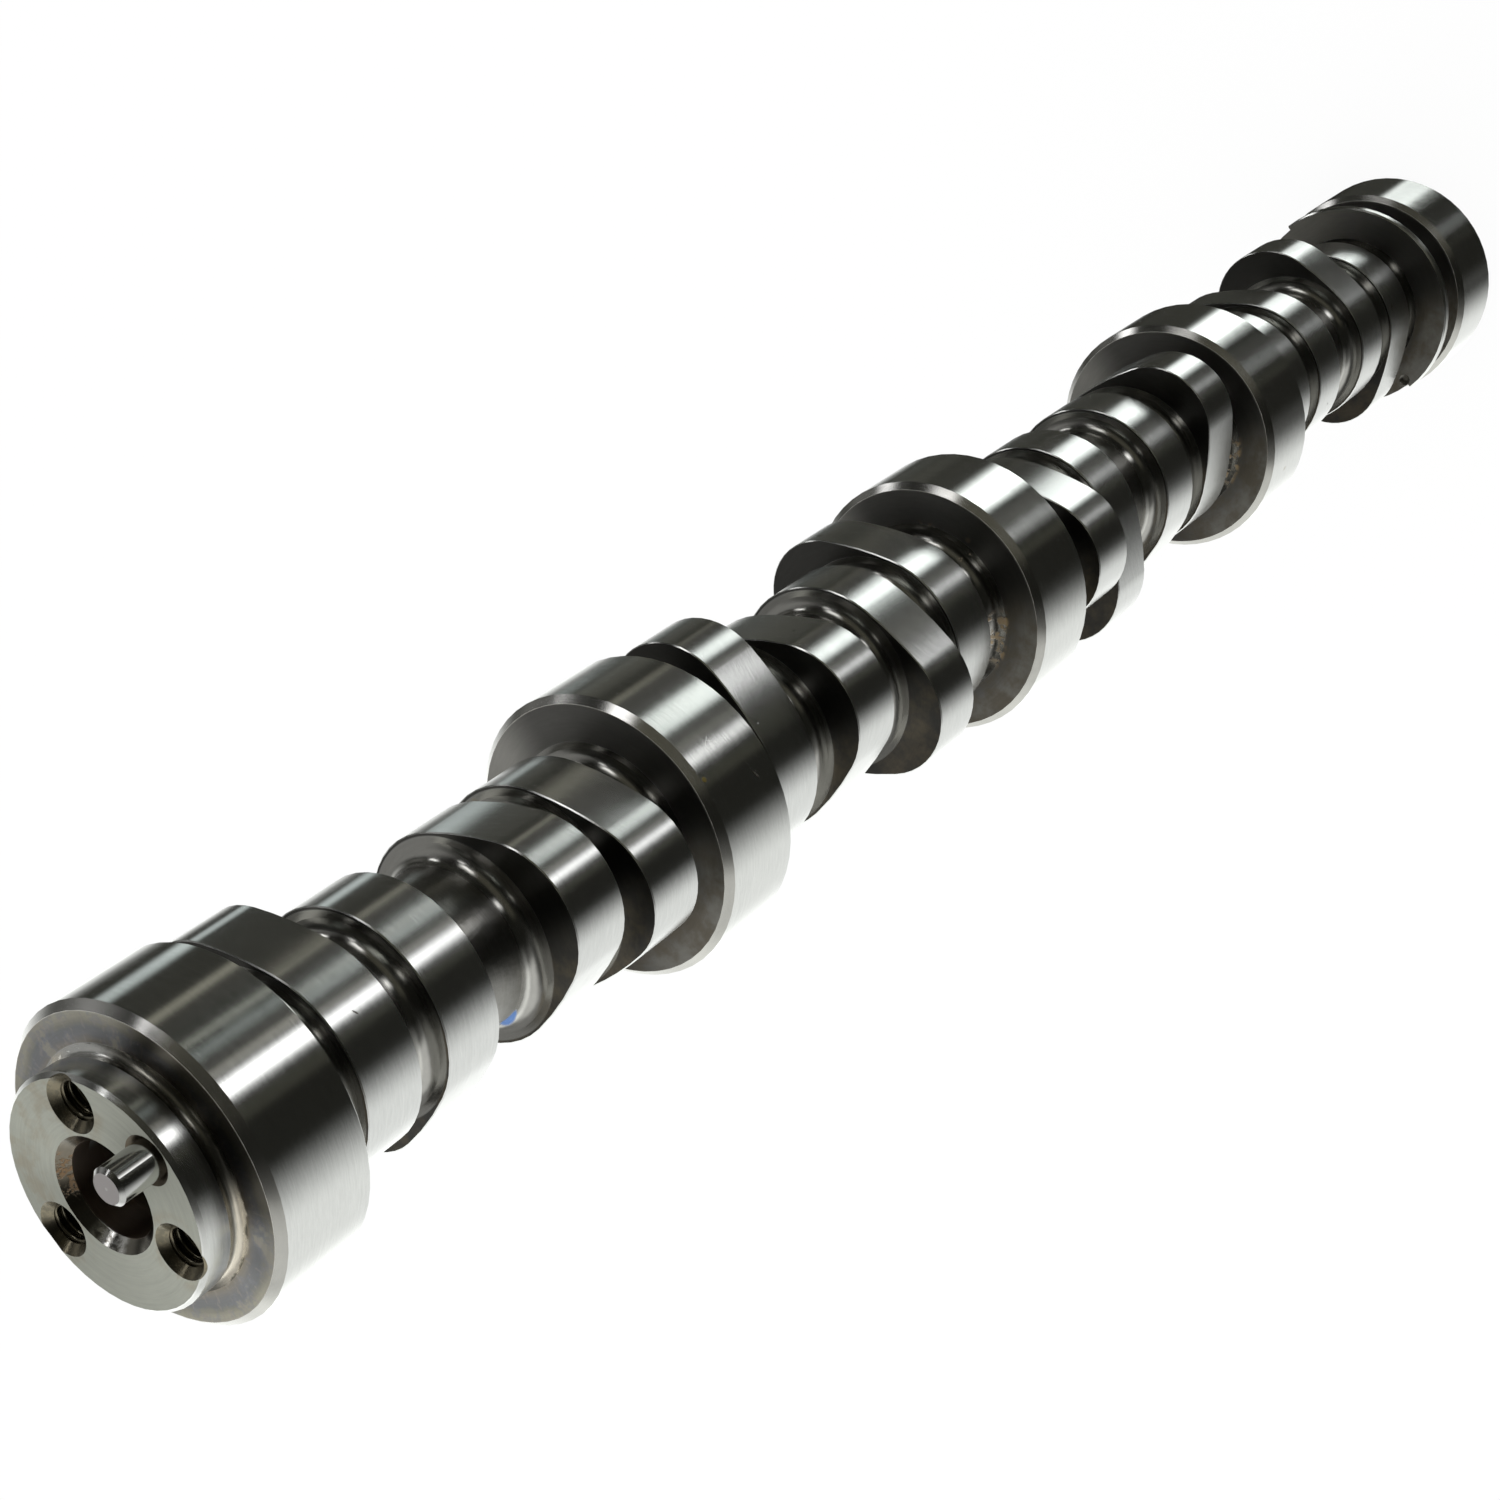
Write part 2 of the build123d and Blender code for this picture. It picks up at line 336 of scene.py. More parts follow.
def makeLobeOutward(plan):
    # which way a lobe's outline faces, seen along the axis: away from the centre of the arc that
    # the point lies on, which is its base circle, a flank or its nose
    tree, given, out = newGroup("lobeOutward", [], ["Outward"], "NodeSocketVector")
    coords = addNode(tree, "ShaderNodeTexCoord")
    point = scaleVector(tree, coords.outputs["Object"], perMetre)
    height = split(tree, point)["Z"]
    stops = [
        (end / plan["length"], (angle / 360, exhaust, 0.0)) for end, angle, exhaust in lobeBands(plan)
    ]
    ramp = fillRamp(tree, stops, "CONSTANT")
    tree.links.new(calc(tree, "DIVIDE", height, plan["length"]), ramp.inputs[0])
    found = split(tree, ramp.outputs[0])
    angle = calc(tree, "MULTIPLY", found["X"], math.tau)
    own = split(tree, turnVector(tree, point, calc(tree, "MULTIPLY", angle, -1.0)))
    side = calc(tree, "SIGN", own["Y"])
    across = calc(tree, "ABSOLUTE", own["Y"])
    bearing = bearingOf(tree, own["X"], across)
    intake = camArcs(plan["baseRadius"], *plan["intake"])
    exhaust = camArcs(plan["baseRadius"], *plan["exhaust"])
    reach, centreX, centreY, start, end = (
        blendValue(tree, found["Y"], first, second) for first, second in zip(intake, exhaust)
    )
    onNose = calc(tree, "LESS_THAN", bearing, end)
    onFlank = calc(tree, "SUBTRACT", calc(tree, "LESS_THAN", bearing, start), onNose)
    shiftX = calc(tree, "MULTIPLY_ADD", onNose, reach, calc(tree, "MULTIPLY", onFlank, centreX))
    shiftY = calc(tree, "MULTIPLY", onFlank, centreY)
    awayX = calc(tree, "SUBTRACT", own["X"], shiftX)
    awayY = calc(tree, "MULTIPLY", calc(tree, "SUBTRACT", across, shiftY), side)
    back = turnVector(tree, join(tree, awayX, awayY), angle)
    tree.links.new(calcVector(tree, "NORMALIZE", back), out.inputs["Outward"])
    return tree


turnedSlack = (0.01, 0.03)  # how far off the outline's direction a facet still counts as turned


def makeRoundNormal():
    # the normal that a turned surface or a lobe has when its facets are left out of account;
    # Share is 0 on other surfaces and Lobe is 1 on a lobe's outline
    inputs = (("Share", 1.0), ("Lobe", 0.0))
    tree, given, out = newGroup("roundNormal", inputs, ["Normal"], "NodeSocketVector")
    coords = addNode(tree, "ShaderNodeTexCoord")
    geometry = addNode(tree, "ShaderNodeNewGeometry")
    facet = toSpace(tree, geometry.outputs["Normal"], "WORLD", "OBJECT")
    flat = calcVector(tree, "MULTIPLY", coords.outputs["Object"], (1.0, 1.0, 0.0))
    radial = calcVector(tree, "NORMALIZE", flat)
    fromArc = useGroup(tree, lobeOutward).outputs["Outward"]
    outward = blendVector(tree, given.outputs["Lobe"], radial, fromArc)
    lean = calcVector(tree, "DOT_PRODUCT", facet, outward)
    parts = split(tree, facet)
    level = distance(tree, parts["X"], parts["Y"])
    across = calc(tree, "SUBTRACT", level, calc(tree, "ABSOLUTE", lean))
    share = both(tree, given.outputs["Share"], inverse(tree, rise(tree, across, *turnedSlack)))
    reach = calc(tree, "MULTIPLY", level, calc(tree, "SIGN", lean))
    turned = scaleVector(tree, outward, reach)
    total = calcVector(tree, "ADD", turned, join(tree, z=parts["Z"]))
    mixed = blendVector(tree, share, facet, total)
    tree.links.new(toSpace(tree, mixed, "OBJECT", "WORLD"), out.inputs["Normal"])
    return tree


def makeMark():
    # one long narrow mark on the shaft; lengths in millimetres, Lean is its slope along the axis
    inputs = (
        ("Radius", 0.0), ("Height", 0.0), ("Azimuth", 0.0), ("Middle azimuth", 0.0),
        ("Middle height", 0.0), ("Half length", 2.0), ("Half width", 0.2), ("Lean", 0.0),
    )
    tree, given, out = newGroup("mark", inputs, ["Mask"])
    turned = calc(tree, "SUBTRACT", given.outputs["Azimuth"], given.outputs["Middle azimuth"])
    arc = calc(tree, "MULTIPLY", calc(tree, "RADIANS", turned), given.outputs["Radius"])
    rose = calc(tree, "SUBTRACT", given.outputs["Height"], given.outputs["Middle height"])
    off = calc(tree, "SUBTRACT", rose, calc(tree, "MULTIPLY", arc, given.outputs["Lean"]))
    lengthShare = calc(tree, "DIVIDE", arc, given.outputs["Half length"])
    widthShare = calc(tree, "DIVIDE", off, given.outputs["Half width"])
    reach = sumOfSquares(tree, lengthShare, widthShare)
    tree.links.new(inverse(tree, rise(tree, reach, *markEdge)), out.inputs["Mask"])
    return tree


shaftPlaces = makeShaftPlaces()
toolLines = makeToolLines()
blotches = makeBlotches()
pits = makePits()
markShape = makeMark()
lobeOutward = makeLobeOutward(lobePlan)
roundNormal = makeRoundNormal()
print("shared effects made")


shaftSet = {
    # heights, radii and lengths in millimetres, from the solids; journals repeat every pitch
    # from journalFront, and chamferFoot is measured from a journal's front
    "plan": {
        "pitch": 111.76, "journalFront": 30.3, "journalLength": 19.2, "rearJournalFront": 19.9,
        "frontSlack": 0.2, "frontDepth": 0.3, "chamferFoot": -1.32, "chamferRadius": 26.2,
        "edgeLineRadius": 26.12, "edgeLineWidth": 0.08, "coreRadius": 18.7, "filletRadius": 19.0,
        "lobeRadius": 19.6, "bodyTop": 476.94, "grooveRadius": 20.95, "grooveTop": 479.7,
        "cornerRadius": 19.6, "noseRadius": 19.5, "noseFaceHeight": 484.71, "boreRadius": 8.35,
        "boreChamferRadius": 10.0, "boreChamferFoot": 483.05, "holeReach": 18.8,
        "holeChamferRadius": 4.8, "pinSeatRadius": 4.25, "ringHeights": (29.0, 32.0),
        "dimpleHeights": (30.6, 31.66), "dimpleReach": 26.0,
    },
    # colour and roughness of each kind of surface
    "kinds": {
        "ground": ((0.64, 0.645, 0.63), 0.15),
        "lobe": ((0.63, 0.635, 0.625), 0.22),
        "chamfer": ((0.62, 0.615, 0.60), 0.20),
        # the lobes' side faces are kept very dark, as painted shade in the narrow gaps between the
        # lobes
        "face": ((0.105, 0.103, 0.098), 0.30),
        "journalFace": ((0.20, 0.197, 0.188), 0.40),
        "fillet": ((0.38, 0.375, 0.355), 0.17),
        "core": ((0.275, 0.27, 0.255), 0.31),
        "groove": ((0.27, 0.26, 0.23), 0.24),
        "noseSide": ((0.58, 0.585, 0.57), 0.19),
        "noseFace": ((0.50, 0.515, 0.45), 0.50),
        "holeChamfer": ((0.17, 0.155, 0.115), 0.24),
        "seat": ((0.16, 0.135, 0.10), 0.30),
        "boreChamfer": ((0.17, 0.16, 0.135), 0.17),
        "bore": ((0.30, 0.24, 0.19), 0.35),
    },
    # colour of each stain or mark, of each painted shade and painted highlight, and how much of it
    # shows
    "stains": {
        "chamferPaintedShade": ((0.42, 0.415, 0.39), 1.0),
        "groovePaintedHighlight": ((0.66, 0.66, 0.64), 1.0),
        "crescentHighlight": ((0.66, 0.61, 0.51), 1.0),
        "edgeHighlightLine": ((0.72, 0.70, 0.64), 1.0),
        "coreMottle": ((0.20, 0.195, 0.175), 0.45),
        "facePaintedLight": ((0.58, 0.57, 0.54), 1.0),
        "rimPaintedLight": ((0.40, 0.39, 0.36), 1.0),
        "dimple": ((0.34, 0.33, 0.30), 1.0),
        "faceFilm": ((0.215, 0.185, 0.14), 0.75),
        "noseStain": ((0.40, 0.34, 0.24), 1.0),
        "holeStain": ((0.27, 0.235, 0.165), 0.6),
        "boreStain": ((0.16, 0.135, 0.10), 0.6),
        "rust": ((0.46, 0.33, 0.18), 1.0),
        "boreRust": ((0.24, 0.155, 0.085), 1.0),
        "borePaintedGlint": ((0.80, 0.79, 0.76), 1.0),
        "speck": ((0.05, 0.045, 0.04), 0.8),
        "softSpot": ((0.38, 0.34, 0.27), 0.6),
        "strawRim": ((0.42, 0.43, 0.49), 0.45),
        "straw": ((0.60, 0.57, 0.48), 0.7),
        "dash": ((0.54, 0.50, 0.48), 0.45),
    },
    # the side of the shaft that each covers: first and last azimuth and softness, in degrees
    "sides": {
        "chamferPaintedShade": (-130.0, -30.0, 30.0),
        "thrustShade": (-36.0, 30.0, 20.0),
        "thrustPaintedLight": (-150.0, -78.0, 16.0),
        "groovePaintedHighlight": (62.0, 108.0, 18.0),
        "upperCrescent": (98.0, 146.0, 20.0),
        "lowerCrescent": (-84.0, -41.0, 18.0),
        "facePaintedLight": (112.0, 165.0, 34.0),
        "ringPaintedLight": (70.0, 140.0, 45.0),
        "lowRim": (-100.0, -45.0, 25.0),
        "dimple": (-95.0, -83.0, 1.0),
        "faceFilm": (-112.0, -45.0, 30.0),
        "noseStain": (70.0, 170.0, 40.0),
        "rust": (-65.0, -40.0, 12.0),
        "boreStain": (100.0, 172.0, 18.0),
        "boreRust": (118.0, 155.0, 14.0),
        "borePaintedGlint": (-158.0, -128.0, 10.0),
    },
    # uneven clouds: size in millimetres, the levels at which they begin and are full, and seed
    "clouds": {
        "crescentHighlight": (5.0, 0.25, 0.75, 16.0),
        "coreMottle": (3.0, 0.40, 0.70, 2.0),
        "faceFilm": (6.0, 0.36, 0.64, 5.0),
        "noseStain": (5.0, 0.44, 0.62, 6.0),
        "rustGrain": (1.7, 0.46, 0.60, 12.0),
        "rust": (4.0, 0.56, 0.66, 11.0),
        "holeStain": (1.1, 0.44, 0.58, 17.0),
        "boreRust": (0.9, 0.48, 0.62, 13.0),
        "borePaintedGlint": (1.5, 0.35, 0.55, 15.0),
        "haze": (16.0, 0.48, 0.66, 7.0),
        "lumps": (1.8, 0.3, 0.7, 8.0),
        "waver": (9.0, 0.3, 0.7, 3.0),
        "ripple": (2.0, 0.3, 0.7, 4.0),
        "strawRim": (5.0, 0.49, 0.56, 14.0),
        "straw": (5.0, 0.55, 0.62, 14.0),
    },
    # where stains, painted highlights and the painted light on rims start or end, in millimetres,
    # each with its softness last
    "reaches": {
        "crescentHighlight": (21.2, 0.5), "facePaintedLight": (23.0, 9.0), "rim": (25.0, 6.0), "ringRim": (22.5, 3.0),
        "besideHole": (5.0, 2.5), "noseStain": (14.0, 4.0), "rustCorner": (-0.3, 3.4, 0.3),
        "rustHeights": (120.0, 270.0, 1.0),
    },
    "crescentWander": 1.2,  # millimetres by which the crescents' outer edge wanders
    "besideHoleShare": 0.55,
    "noseStainShare": 0.45,
    "rustShare": 0.8,
    # single marks: azimuth and height of the middle, half length and half width, lean, colour
    # and roughness
    "marks": {
        "blueDab": (-93.0, 405.7, 3.7, 0.85, 0.22, (0.06, 0.20, 0.55), 0.40),
        "yellowSpot": (-5.6, 363.6, 0.55, 0.55, 0.0, (0.55, 0.45, 0.16), 0.35),
        "arcScratch": (-15.0, 351.8, 0.9, 0.14, 0.5, (0.90, 0.88, 0.80), 0.45),
        "crossScratch": (4.4, 356.8, 0.6, 0.10, 1.6, (0.75, 0.75, 0.73), 0.30),
        "otherScratch": (5.4, 357.6, 0.7, 0.10, -1.3, (0.72, 0.72, 0.70), 0.30),
        "nick": (-0.6, 444.6, 0.55, 0.20, 0.5, (0.16, 0.15, 0.14), 0.35),
    },
    # small round marks: spacing and size in millimetres, and the share of places that have one
    "specks": (9.0, 0.32, 0.35),
    "softSpots": (15.0, 0.75, 0.3),
    # radius in millimetres and colour of the rings that a thrust plate has worn into the face
    "thrustRings": (
        (21.0, (0.44, 0.40, 0.34)), (21.8, (0.42, 0.40, 0.38)), (22.6, (0.36, 0.365, 0.385)),
        (23.8, (0.35, 0.36, 0.375)), (24.6, (0.45, 0.44, 0.39)), (25.4, (0.58, 0.56, 0.48)),
        (26.2, (0.62, 0.60, 0.52)),
    ),
    "waver": 1.1,  # millimetres by which the rings wander, in long waves and in short ones
    "ripple": 0.25,
    # painted shade and painted light: colours that darken one side of the thrust face and lighten
    # another
    "thrustShade": (0.28, 0.27, 0.26),
    "thrustPaintedLight": (1.40, 1.40, 1.36),
    # radial dashes on the thrust face: how many in a degree and in a millimetre, and their edge
    "dashes": (0.45, 0.5),
    "dashEdge": (0.58, 0.68),
    # lines round the axis: how many in a millimetre, and how fast they change along their run;
    # then how much they change the brightness
    "lines": {"fine": (4.0, 0.05), "strokes": (2.6, 0.35), "turned": (3.6, 0.10)},
    "lineTone": {"fine": 0.16, "strokes": 0.22, "turned": 0.26},
    # height of the lines, lumps and rust in millimetres; the specks are hollows
    "depths": {
        "fine": 0.007, "strokes": 0.006, "core": 0.022, "noseFace": 0.020, "lumps": 0.022,
        "rust": 0.04, "speck": -0.04,
    },
    "thrustRoughness": 0.33,
    "dimpleRoughness": 0.5,
    "rustRoughness": 0.45,
    "hazeRoughness": 0.03,
    "strokeRoughness": 0.08,
    "noseFaceMetal": 0.7,
    # the painted edge highlight is made less metallic so that it stays light
    "edgeLineMetal": 0.65,
    "rustOxide": 0.3,
    # the painted crescent highlight is made less metallic so that it stays light
    "crescentHighlightMatte": 0.30,
    "anisotropy": 0.75,
    "anisotropyTurn": 0.25,
}


def makeThrustColor(tree, radius, azimuth, cloud, stain, settings):
    shifted = calc(tree, "MULTIPLY_ADD", cloud("waver"), settings["waver"], radius)
    shifted = calc(tree, "MULTIPLY_ADD", cloud("ripple"), settings["ripple"], shifted)
    rings = settings["thrustRings"]
    first, last = rings[0][0], rings[-1][0]
    ramp = fillRamp(tree, [((place - first) / (last - first), tone) for place, tone in rings])
    place = calc(tree, "SUBTRACT", shifted, first + settings["waver"] / 2)
    tree.links.new(calc(tree, "DIVIDE", place, last - first), ramp.inputs[0])
    # straw patches with a bluish rim
    color = stain(ramp.outputs[0], cloud("strawRim"), "strawRim")
    color = stain(color, cloud("straw"), "straw")
    # short radial dashes
    aroundScale, acrossScale = settings["dashes"]
    around = calc(tree, "MULTIPLY", azimuth, aroundScale)
    across = calc(tree, "MULTIPLY", radius, acrossScale)
    dashes = addNode(tree, "ShaderNodeTexNoise", noise_dimensions="2D")
    tree.links.new(join(tree, around, across), dashes.inputs["Vector"])
    dashes.inputs["Scale"].default_value = 1.0
    return stain(color, rise(tree, dashes.outputs[0], *settings["dashEdge"]), "dash")


def makeShaftSteel(settings):
    material, tree, output = newMaterial("groundSteel")
    plan, reaches, depths = settings["plan"], settings["reaches"], settings["depths"]
    places = useGroup(tree, shaftPlaces)
    radius, height, azimuth, up, face, line = (
        places.outputs[n] for n in ("Radius", "Height", "Azimuth", "Up", "Face", "Line")
    )
    holeDistance, pinDistance = places.outputs["Hole distance"], places.outputs["Pin distance"]

    def below(value, limit, soft=0.1):
        return inverse(tree, rise(tree, value, limit, limit + soft))

    def above(value, limit, soft=0.1):
        return rise(tree, value, limit - soft, limit)

    def between(value, start, end, soft):
        return both(tree, above(value, start, soft), below(value, end, soft))

    def either(*masks):
        result = masks[0]
        for mask in masks[1:]:
            result = calc(tree, "MAXIMUM", result, mask)
        return result

    def side(name):
        return between(azimuth, *settings["sides"][name])

    def cloud(name):
        size, low, high, seed = settings["clouds"][name]
        return useGroup(tree, blotches, size=size, low=low, high=high, seed=seed).outputs["Mask"]

    def dots(name):
        spacing, size, share = settings[name]
        return useGroup(tree, pits, spacing=spacing, size=size, share=share).outputs["Mask"]

    def lines(name):
        fine, stretch = settings["lines"][name]
        return useGroup(tree, toolLines, line=line, fine=fine, stretch=stretch).outputs["Lines"]

    def stain(under, mask, name):
        tone, share = settings["stains"][name]
        return blendColor(tree, mask if share == 1.0 else both(tree, mask, share), under, tone)

    # which kind of surface each point belongs to
    body = below(height, plan["bodyTop"])
    nose = inverse(tree, body)
    core = both(tree, body, below(radius, plan["coreRadius"], soft=0.5))
    straight = both(tree, core, places.outputs["Straight"])
    ends = both(tree, body, face, inverse(tree, core))
    bay = calc(tree, "SUBTRACT", height, plan["journalFront"])
    bay = calc(tree, "WRAP", bay, plan["pitch"] / 2, -plan["pitch"] / 2)
    fromRear = calc(tree, "SUBTRACT", height, plan["rearJournalFront"])
    onJournal = between(bay, -plan["journalLength"], plan["frontSlack"], soft=0.1)
    journal = either(onJournal, below(height, plan["ringHeights"][1]))
    lobe = both(tree, body, inverse(tree, journal))
    fronts = [below(calc(tree, "ABSOLUTE", off), plan["frontDepth"]) for off in (bay, fromRear)]
    ring = between(height, *plan["ringHeights"], soft=0.1)
    chamfers = [
        between(off, plan["chamferFoot"], plan["frontSlack"], soft=0.05) for off in (bay, fromRear)
    ]
    chamfer = both(tree, either(*chamfers), above(radius, plan["chamferRadius"]))
    journalFace = both(tree, ends, up, either(*fronts, ring))
    noseFace = both(tree, up, above(height, plan["noseFaceHeight"]))
    groove = both(tree, nose, below(radius, plan["grooveRadius"]), below(height, plan["grooveTop"]))
    thrust = both(tree, up, nose, above(radius, plan["grooveRadius"]))
    inNose = both(tree, nose, inverse(tree, noseFace))
    noseSide = both(tree, inNose, above(radius, plan["noseRadius"]), above(height, plan["grooveTop"]))
    mouth = above(height, plan["boreChamferFoot"])
    hole = both(tree, inNose, below(holeDistance, plan["holeChamferRadius"]))
    hole = both(tree, hole, either(mouth, below(radius, plan["holeReach"])))
    seat = both(tree, inNose, below(pinDistance, plan["pinSeatRadius"]))
    bore = both(tree, below(radius, plan["boreRadius"]), below(height, plan["boreChamferFoot"]))
    boreEdge = both(tree, inNose, below(radius, plan["boreChamferRadius"]), mouth)

    color, roughness = settings["kinds"]["ground"]
    for mask, name in (
        (lobe, "lobe"), (chamfer, "chamfer"), (ends, "face"), (journalFace, "journalFace"),
        (core, "fillet"), (straight, "core"), (groove, "groove"), (noseSide, "noseSide"),
        (noseFace, "noseFace"), (hole, "holeChamfer"), (seat, "seat"), (boreEdge, "boreChamfer"),
        (bore, "bore"),
    ):
        tone, rough = settings["kinds"][name]
        color = blendColor(tree, mask, color, tone)
        roughness = blendValue(tree, mask, roughness, rough)

    # the thrust face, the relief behind the nose and the edges, with painted shade and painted
    # highlights on some sides
    # painted shade: the journals' chamfers are darker on one side of the shaft
    chamferShadeMask = both(tree, chamfer, side("chamferPaintedShade"), inverse(tree, ends))
    color = stain(color, chamferShadeMask, "chamferPaintedShade")
    rubbedRingsAndPaintedShade = makeThrustColor(tree, radius, azimuth, cloud, stain, settings)
    # painted shade on one side of the thrust face and painted light on another
    for name in ("thrustShade", "thrustPaintedLight"):
        rubbedRingsAndPaintedShade = blendColor(tree, side(name), rubbedRingsAndPaintedShade, settings[name], "MULTIPLY")
    color = blendColor(tree, thrust, color, rubbedRingsAndPaintedShade)
    roughness = blendValue(tree, thrust, roughness, settings["thrustRoughness"])
    # painted highlight: the relief groove is lighter on one side
    color = stain(color, both(tree, groove, side("groovePaintedHighlight")), "groovePaintedHighlight")
    # painted highlight: a cream crescent on two sides of the corner between the relief and the thrust
    # face; the cream tint is the steel's own, its brightness on just these sides is painted
    edge = calc(tree, "MULTIPLY_ADD", cloud("crescentHighlight"), settings["crescentWander"], radius)
    corner = above(radius, plan["cornerRadius"], soft=0.3)
    corner = both(tree, corner, below(edge, *reaches["crescentHighlight"]))
    crescentSide = either(side("upperCrescent"), side("lowerCrescent"))
    crescentHighlight = both(tree, either(groove, thrust), crescentSide, corner)
    color = stain(color, crescentHighlight, "crescentHighlight")
    # painted highlight: a thin light line along the outer edge of the thrust face and the journal
    # faces
    plainFace = either(thrust, both(tree, journalFace, inverse(tree, ring)))
    atEdge = above(radius, plan["edgeLineRadius"], soft=plan["edgeLineWidth"])
    edgeHighlightLine = both(tree, plainFace, atEdge)
    color = stain(color, edgeHighlightLine, "edgeHighlightLine")

    # mottling and stains, and painted light on some sides of the faces and the ring
    color = stain(color, both(tree, straight, cloud("coreMottle")), "coreMottle")
    # painted light: the journal faces are lighter on one side
    paintedFaceLight = both(tree, journalFace, side("facePaintedLight"), above(radius, *reaches["facePaintedLight"]))
    color = stain(color, paintedFaceLight, "facePaintedLight")
    # painted light on one side of the sensor ring's face and on the low side of the faces' outer rims
    color = stain(color, both(tree, journalFace, ring, side("ringPaintedLight")), "rimPaintedLight")
    ringRim = both(tree, ring, above(radius, *reaches["ringRim"]))
    outer = either(above(radius, *reaches["rim"]), ringRim)
    color = stain(color, both(tree, journalFace, side("lowRim"), outer), "rimPaintedLight")
    dimple = both(tree, between(height, *plan["dimpleHeights"], soft=0.02), side("dimple"))
    dimple = both(tree, dimple, below(radius, plan["dimpleReach"]))
    color = stain(color, dimple, "dimple")
    roughness = blendValue(tree, dimple, roughness, settings["dimpleRoughness"])
    color = stain(color, both(tree, ends, side("faceFilm"), cloud("faceFilm")), "faceFilm")
    besideHole = both(
        tree, noseFace, below(holeDistance, *reaches["besideHole"]), settings["besideHoleShare"],
    )
    farSide = both(
        tree, noseFace, side("noseStain"), above(radius, *reaches["noseStain"]),
        settings["noseStainShare"],
    )
    tan = both(tree, either(besideHole, farSide), cloud("noseStain"))
    color = stain(color, tan, "noseStain")
    color = stain(color, both(tree, hole, mouth, cloud("holeStain")), "holeStain")
    color = stain(color, both(tree, boreEdge, side("boreStain")), "boreStain")

    # rust in some corners beside the journals and on the mouth of the bore, and a painted glint on
    # the bore's mouth
    inCorner = below(radius, plan["filletRadius"], soft=1.0)
    beside = both(tree, between(bay, *reaches["rustCorner"]), inCorner, body)
    beside = both(tree, beside, between(height, *reaches["rustHeights"]))
    rustPlace = either(cloud("rust"), side("rust"))
    rust = both(tree, beside, rustPlace, cloud("rustGrain"), settings["rustShare"])
    boreRust = both(tree, boreEdge, side("boreRust"), cloud("boreRust"))
    color = stain(color, rust, "rust")
    color = stain(color, boreRust, "boreRust")
    # painted glint: a bright arc on one side of the bore's chamfer
    color = stain(color, both(tree, boreEdge, side("borePaintedGlint"), cloud("borePaintedGlint")), "borePaintedGlint")
    rust = either(rust, boreRust)
    roughness = blendValue(tree, rust, roughness, settings["rustRoughness"])

    # pits, soft spots and single marks
    specks = dots("specks")
    color = stain(color, both(tree, specks, body), "speck")
    color = stain(color, both(tree, dots("softSpots"), body), "softSpot")
    marks = {}
    for name, (turn, rose, length, width, lean, tone, rough) in settings["marks"].items():
        marks[name] = useGroup(
            tree, markShape, radius=radius, height=height, azimuth=azimuth, middleAzimuth=turn,
            middleHeight=rose, halfLength=length, halfWidth=width, lean=lean,
        ).outputs["Mask"]
        color = blendColor(tree, marks[name], color, tone)
        roughness = blendValue(tree, marks[name], roughness, rough)

    # tool marks
    fine, strokes, turned = lines("fine"), lines("strokes"), lines("turned")
    fineTone, strokeTone, turnedTone = (
        calc(tree, "SUBTRACT", value, 0.5) for value in (fine, strokes, turned)
    )
    turnedTone = both(tree, turnedTone, either(straight, noseFace))
    brightness = 1.0
    for value, name in ((fineTone, "fine"), (strokeTone, "strokes"), (turnedTone, "turned")):
        brightness = calc(tree, "MULTIPLY_ADD", value, settings["lineTone"][name], brightness)
    shade = scaleVector(tree, color, brightness)
    roughness = calc(tree, "MULTIPLY_ADD", cloud("haze"), settings["hazeRoughness"], roughness)
    roughness = calc(tree, "MULTIPLY_ADD", strokeTone, settings["strokeRoughness"], roughness)
    metal = 1.0
    for mask, change in (
        (noseFace, settings["noseFaceMetal"] - 1.0), (rust, -settings["rustOxide"]),
        (crescentHighlight, -settings["crescentHighlightMatte"]), (edgeHighlightLine, settings["edgeLineMetal"] - 1.0),
    ):
        metal = calc(tree, "MULTIPLY_ADD", mask, change, metal)
    metal = calc(tree, "SUBTRACT", metal, marks["blueDab"], clamp=True)

    # heights in millimetres
    turnedDepth = calc(tree, "MULTIPLY", straight, depths["core"])
    turnedDepth = calc(tree, "MULTIPLY_ADD", noseFace, depths["noseFace"], turnedDepth)
    relief = 0.0
    for mask, depth in (
        (fine, depths["fine"]), (strokes, depths["strokes"]), (turned, turnedDepth),
        (both(tree, straight, cloud("lumps")), depths["lumps"]), (rust, depths["rust"]),
        (specks, depths["speck"]),
    ):
        relief = calc(tree, "MULTIPLY_ADD", mask, depth, relief)
    outline = both(tree, lobe, above(radius, plan["lobeRadius"], soft=0.2))
    steady = useGroup(tree, roundNormal, share=inverse(tree, either(hole, seat)), lobe=outline)
    bump = addNode(tree, "ShaderNodeBump")
    bump.inputs["Distance"].default_value = 1 / perMetre
    tree.links.new(relief, bump.inputs["Height"])
    tree.links.new(steady.outputs["Normal"], bump.inputs["Normal"])

    shader = addNode(tree, "ShaderNodeBsdfPrincipled")
    shader.inputs["Anisotropic"].default_value = settings["anisotropy"]
    shader.inputs["Anisotropic Rotation"].default_value = settings["anisotropyTurn"]
    for name, value in (
        ("Base Color", shade), ("Roughness", roughness), ("Metallic", metal),
        ("Normal", bump.outputs["Normal"]),
    ):
        tree.links.new(value, shader.inputs[name])
    tree.links.new(shader.outputs["BSDF"], output.inputs["Surface"])
    return material


shaftSteel = makeShaftSteel(shaftSet)
shaftNode.material_slots[0].material = shaftSteel
print("shaft steel made")


threadPlan = {  # metres, turns and degrees
    "count": 3, "circle": 0.015, "top": 0.48330, "pitch": 0.00125, "turns": 9.0,
    "wallRadius": 0.00343, "depth": 0.00045, "firstHole": 60.0, "stepsPerTurn": 48, "ridgeSides": 6,
}


